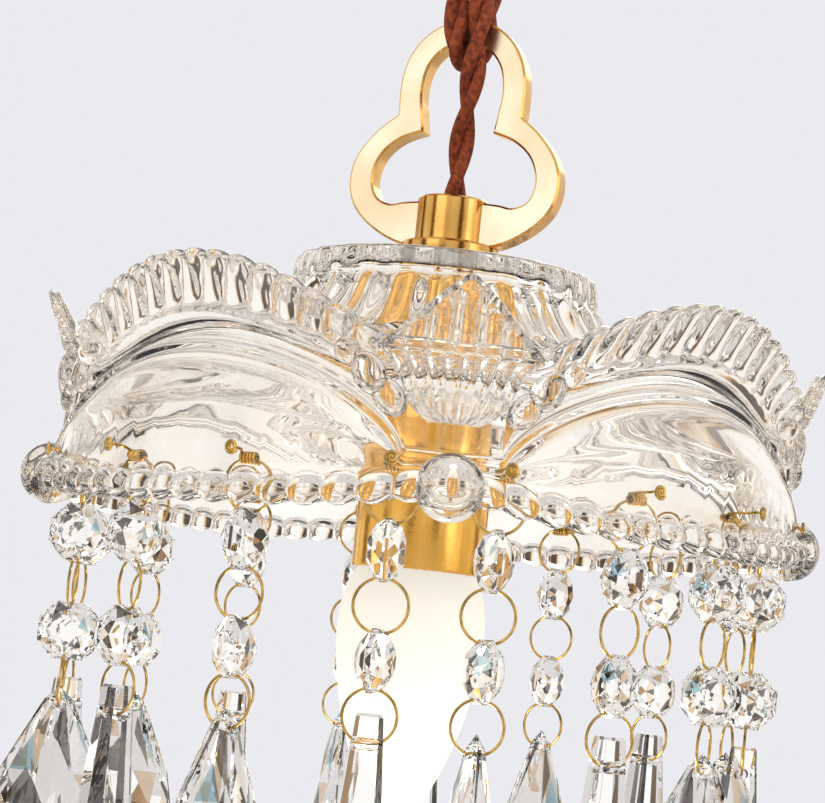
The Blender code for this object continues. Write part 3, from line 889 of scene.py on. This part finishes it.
# Level across one flag, from its middle to the bright room beside it, with the colour there.
FLAG_STOPS = ((0.09, (0.05, 0.038, 0.03)), (0.16, (0.52, 0.30, 0.14)), (0.30, (0.94, 0.80, 0.61)),
              (0.52, (1.0, 0.985, 0.965)))
FLAG_COUNT = 8.0
CEILING_GLOW = (0.95, 0.93, 0.90)
PLAIN_BACKGROUND = (0.83, 0.83, 0.865)


def build_world():
    """Pale studio, bright all round, with narrow dark flags that draw the edges of clear glass.

    Only rays that leave the lamp see the flags. Straight past the lamp the background is plain.
    """
    world = bpy.data.worlds.new("studio")
    scene.world = world
    world.use_nodes = True
    tree = world.node_tree

    def add(kind, operation=None, **values):
        made = tree.nodes.new(kind)
        if operation:
            made.operation = operation
        for key, value in values.items():
            made.inputs[key.replace("_", " ")].default_value = value
        return made

    def join(a, out, b, into):
        tree.links.new(a.outputs[out], b.inputs[into])

    def feed(made, socket, source):
        """A number, a colour, or another node's output with its name."""
        if isinstance(source, float):
            made.inputs[socket].default_value = source
        elif isinstance(source[0], float):
            made.inputs[socket].default_value = (*source, 1.0)
        else:
            join(*source, made, socket)

    def blend(kind, factor, first, second):
        made = tree.nodes.new("ShaderNodeMix")
        made.data_type = "RGBA"
        made.blend_type = kind
        for socket, source in (("Factor", factor), ("A", first), ("B", second)):
            feed(made, socket, source)
        return made

    place = add("ShaderNodeTexCoord")
    parts = add("ShaderNodeSeparateXYZ")
    join(place, "Generated", parts, 0)
    heading = add("ShaderNodeMath", "ARCTAN2")
    join(parts, "X", heading, 0)
    join(parts, "Y", heading, 1)
    repeats = add("ShaderNodeMath", "MULTIPLY")
    repeats.inputs[1].default_value = FLAG_COUNT
    join(heading, "Value", repeats, 0)
    wave = add("ShaderNodeMath", "COSINE")
    join(repeats, "Value", wave, 0)
    level = add("ShaderNodeMapRange", From_Min=-1.0)
    join(wave, "Value", level, "Value")
    flags = tree.nodes.new("ShaderNodeValToRGB")
    ramp = flags.color_ramp.elements
    ramp[0].position, ramp[0].color = FLAG_STOPS[0][0], (*FLAG_STOPS[0][1], 1.0)
    ramp[1].position, ramp[1].color = FLAG_STOPS[-1][0], (*FLAG_STOPS[-1][1], 1.0)
    for position, colour in FLAG_STOPS[1:-1]:
        ramp.new(position).color = (*colour, 1.0)
    join(level, "Result", flags, "Fac")
    tilt = add("ShaderNodeMath", "ABSOLUTE")
    join(parts, "Z", tilt, 0)
    cap = add("ShaderNodeMapRange", From_Min=0.5, From_Max=0.75)
    join(tilt, "Value", cap, "Value")
    walls = blend("MIX", (cap, "Result"), (flags, "Color"), CEILING_GLOW)
    depth = add("ShaderNodeMapRange", From_Min=-0.2, From_Max=0.4, To_Min=0.88, To_Max=1.0)
    join(parts, "Y", depth, "Value")
    room = blend("MULTIPLY", 1.0, (walls, "Result"), (depth, "Result"))
    rays = add("ShaderNodeLightPath")
    shown = blend("MIX", (rays, "Is Camera Ray"), (room, "Result"), PLAIN_BACKGROUND)
    join(shown, "Result", tree.nodes["Background"], "Color")


def area_light(name, place, target, size, power, colour):
    data = bpy.data.lights.new(name, "AREA")
    data.shape = "RECTANGLE"
    data.size, data.size_y = size
    data.energy = power
    data.color = colour
    obj = bpy.data.objects.new(name, data)
    obj.location = place
    obj.rotation_euler = (Vector(target) - Vector(place)).to_track_quat("-Z", "Y").to_euler()
    scene.collection.objects.link(obj)


def build_lights():
    middle = (0, 0, -0.28)
    area_light("key", (-1.0, -1.2, 0.45), middle, (1.5, 1.5), 4.9, (1.0, 0.97, 0.93))
    area_light("fill", (1.3, -0.8, -0.1), middle, (0.8, 1.1), 3.4, (0.96, 0.97, 1.0))
    area_light("rim", (0.5, 1.2, 0.5), middle, (0.8, 0.5), 2.4, (1.0, 1.0, 1.0))
    data = bpy.data.lights.new("filament", "POINT")
    data.energy = 0.25
    data.color = (1.0, 0.85, 0.6)
    data.shadow_soft_size = 0.02
    obj = bpy.data.objects.new("filament", data)
    obj.location = (0, 0, (-100.0 - RIM_DROP) * MM)
    scene.collection.objects.link(obj)


def build_camera():
    """Close to the rim's height, in front, looking a little up and rolled."""
    azimuth, distance, height = math.radians(-3.265), 0.6317, (-40.3 - RIM_DROP) * MM
    yaw, pitch, roll = math.radians(-0.477), math.radians(6.032), math.radians(5.903)
    data = bpy.data.cameras.new("camera")
    data.sensor_width = 36.0
    data.lens = 113.15
    data.clip_start = 0.01
    camera = bpy.data.objects.new("camera", data)
    scene.collection.objects.link(camera)
    heading = azimuth - yaw
    ahead = math.cos(pitch)
    forward = Vector((-math.sin(heading) * ahead, math.cos(heading) * ahead, math.sin(pitch)))
    right = forward.cross(Vector((0, 0, 1))).normalized()
    up = right.cross(forward)
    across = right * math.cos(roll) + up * math.sin(roll)
    above = up * math.cos(roll) - right * math.sin(roll)
    turn = Matrix((across, above, -forward)).transposed().to_4x4()
    spot = Vector((math.sin(azimuth) * distance, -math.cos(azimuth) * distance, height))
    camera.matrix_world = Matrix.Translation(spot) @ turn
    scene.camera = camera


def settings():
    scene.view_settings.view_transform = "Standard"
    scene.view_settings.look = "None"
    scene.cycles.max_bounces = 20
    scene.cycles.transmission_bounces = 18
    scene.cycles.glossy_bounces = 8
    scene.cycles.caustics_reflective = False
    scene.cycles.caustics_refractive = False
    scene.cycles.sample_clamp_indirect = 6.0
    scene.cycles.use_denoising = True


build_crown()
build_loop()
build_cover()
build_bulb()
build_rose()
paint_fittings()
build_cord()
build_strands()
build_room()
build_world()
build_lights()
build_camera()
settings()
